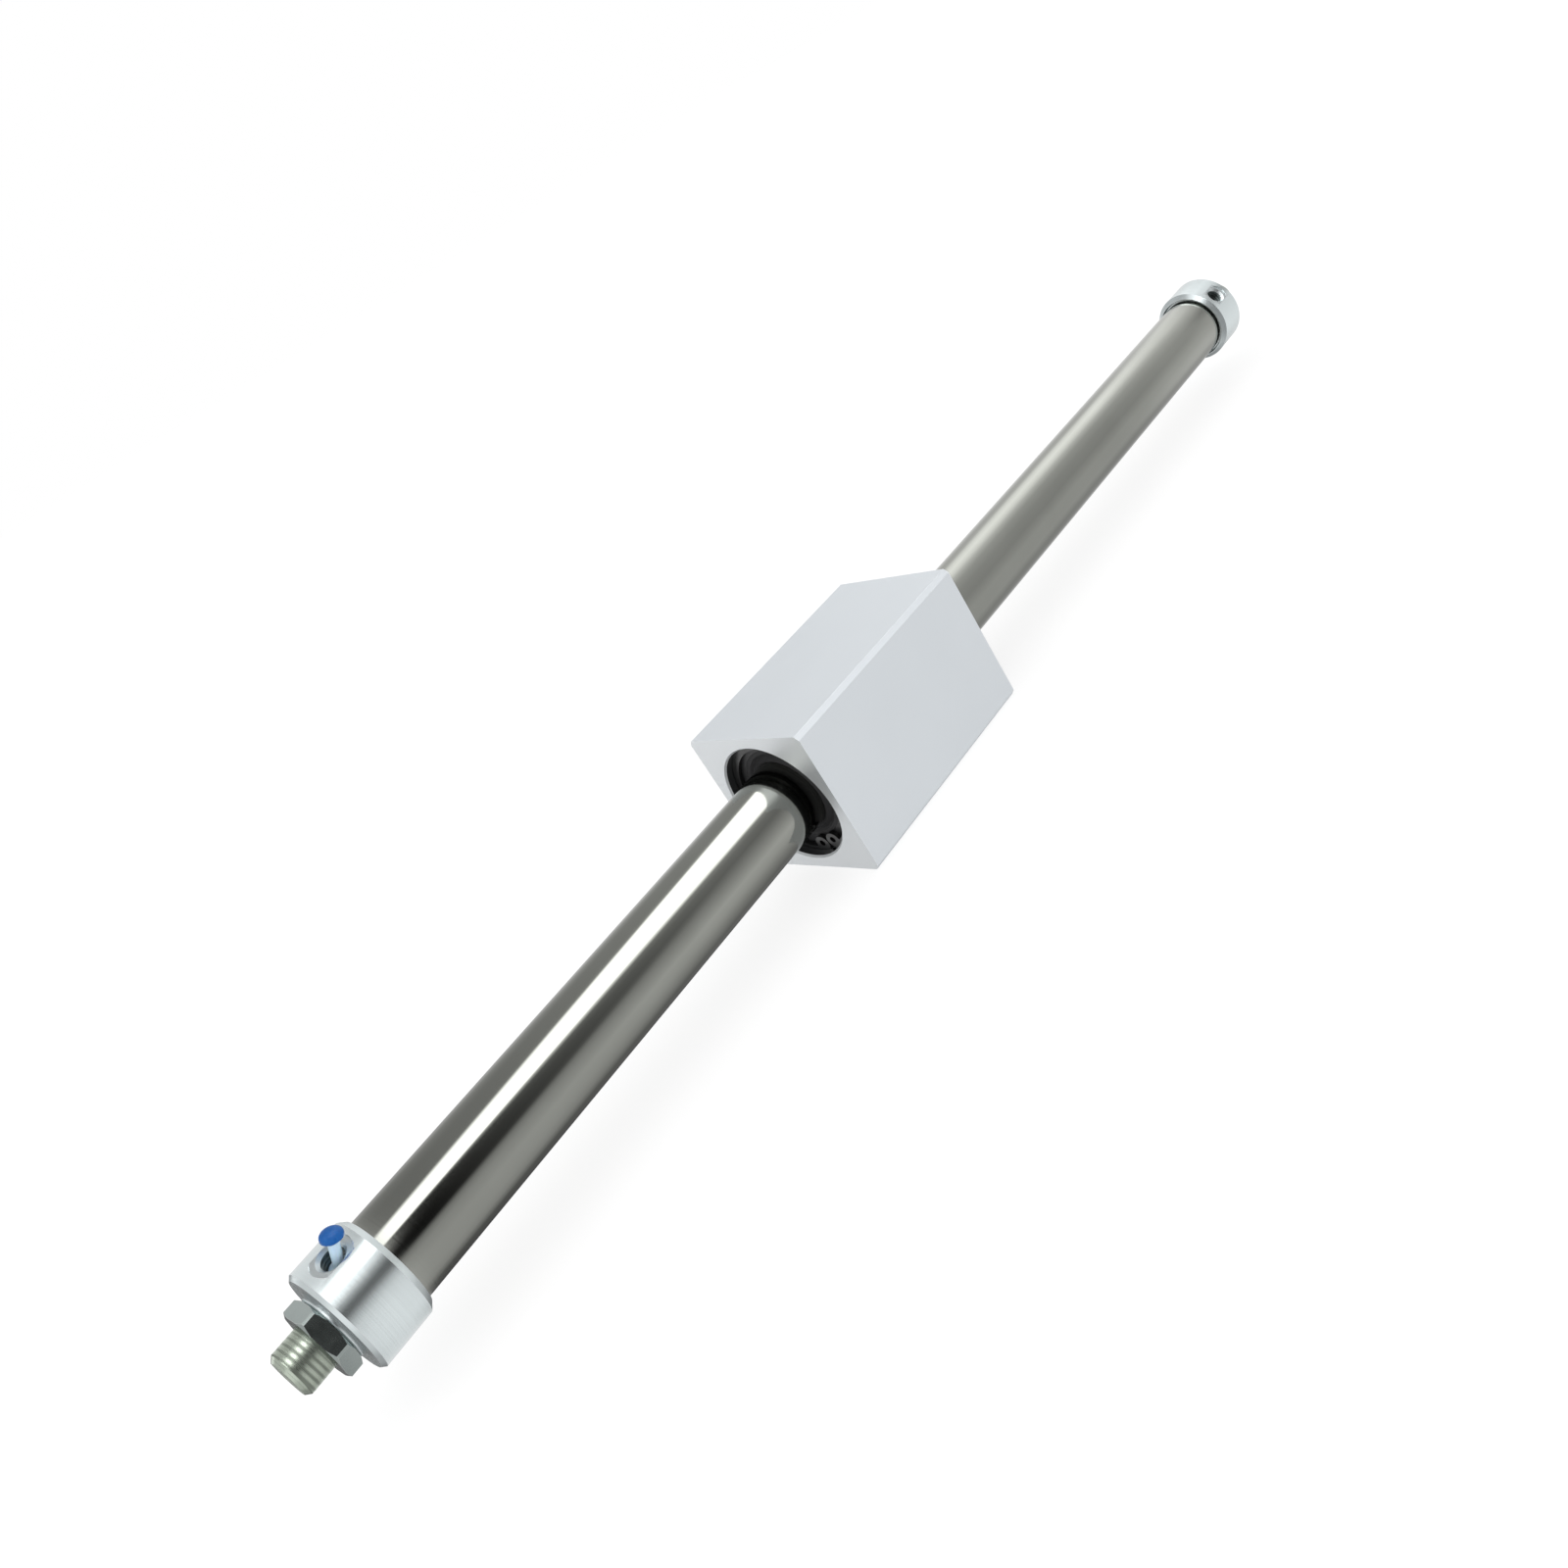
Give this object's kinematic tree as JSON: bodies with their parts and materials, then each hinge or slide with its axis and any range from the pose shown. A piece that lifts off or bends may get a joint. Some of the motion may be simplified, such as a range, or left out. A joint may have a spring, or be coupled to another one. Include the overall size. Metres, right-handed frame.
{
  "type": "rodless pneumatic cylinder",
  "caption": "Rodless pneumatic cylinder: a square magnet-coupled slider block runs along a polished steel tube between round end covers with ports and nutted noses.",
  "frame": {"origin": "on the tube's axis at its mid-length, the centre of the bounding box", "axes": "+X along the tube from the plugged front end to the rear end; +Z square to the slider's plain upper face, away from its mounting holes; +Y completes the frame"},
  "size_m": [0.365, 0.035, 0.035],
  "materials": {
    "tube_steel": "polished stainless tube",
    "cover_aluminium": "turned and clear anodised, satin",
    "block_aluminium": "fine blasted and clear anodised, satin",
    "plated_steel": "zinc plated",
    "plug_plastic": "moulded, semi-gloss blue",
    "rubber": "matt black",
    "piston_aluminium": "machined",
    "wear_resin": "filled black resin",
    "holder_resin": "moulded black resin",
    "felt": "oiled felt",
    "magnet": "nickel-plated magnet",
    "yoke_steel": "ground mild steel",
    "spring_steel": "oiled spring steel"
  },
  "bodies": {
    "barrel": {"cylinder_tube": "tube_steel", "front_head_cover": "cover_aluminium", "rear_head_cover": "cover_aluminium", "front_mounting_nut": "plated_steel", "rear_mounting_nut": "plated_steel", "front_tube_gasket": "rubber", "rear_tube_gasket": "rubber", "front_bumper": "rubber", "rear_bumper": "rubber", "port_plug": "plug_plastic"},
    "piston": {"piston_shaft": "plated_steel", "front_piston": "piston_aluminium", "rear_piston": "piston_aluminium", "front_piston_seal": "rubber", "rear_piston_seal": "rubber", "front_piston_wear_ring": "wear_resin", "rear_piston_wear_ring": "wear_resin", "front_piston_nut": "plated_steel", "rear_piston_nut": "plated_steel", "piston_magnet_1": "magnet", "piston_magnet_2": "magnet", "piston_magnet_3": "magnet", "piston_magnet_4": "magnet", "piston_yoke_1": "yoke_steel", "piston_yoke_2": "yoke_steel", "piston_yoke_3": "yoke_steel", "piston_yoke_4": "yoke_steel", "piston_yoke_5": "yoke_steel"},
    "slider": {"slider_block": "block_aluminium", "slider_magnet_1": "magnet", "slider_magnet_2": "magnet", "slider_magnet_3": "magnet", "slider_magnet_4": "magnet", "slider_yoke_1": "yoke_steel", "slider_yoke_2": "yoke_steel", "slider_yoke_3": "yoke_steel", "slider_yoke_4": "yoke_steel", "slider_yoke_5": "yoke_steel", "front_lube_retainer": "felt", "rear_lube_retainer": "felt", "front_bearing_holder": "holder_resin", "rear_bearing_holder": "holder_resin", "front_slider_wear_ring": "wear_resin", "rear_slider_wear_ring": "wear_resin", "front_scraper": "rubber", "rear_scraper": "rubber", "front_snap_ring": "spring_steel", "rear_snap_ring": "spring_steel"}
  },
  "joints": [
    {"name": "piston_travel", "type": "slide", "parent": "barrel", "child": "piston", "axis": [1, 0, 0], "range_m": [-0.104, 0.146]},
    {"name": "slider_swivel", "type": "hinge", "parent": "piston", "child": "slider", "pos_m": [-0.021, 0, 0], "axis": [1, 0, 0], "continuous": true}
  ]
}
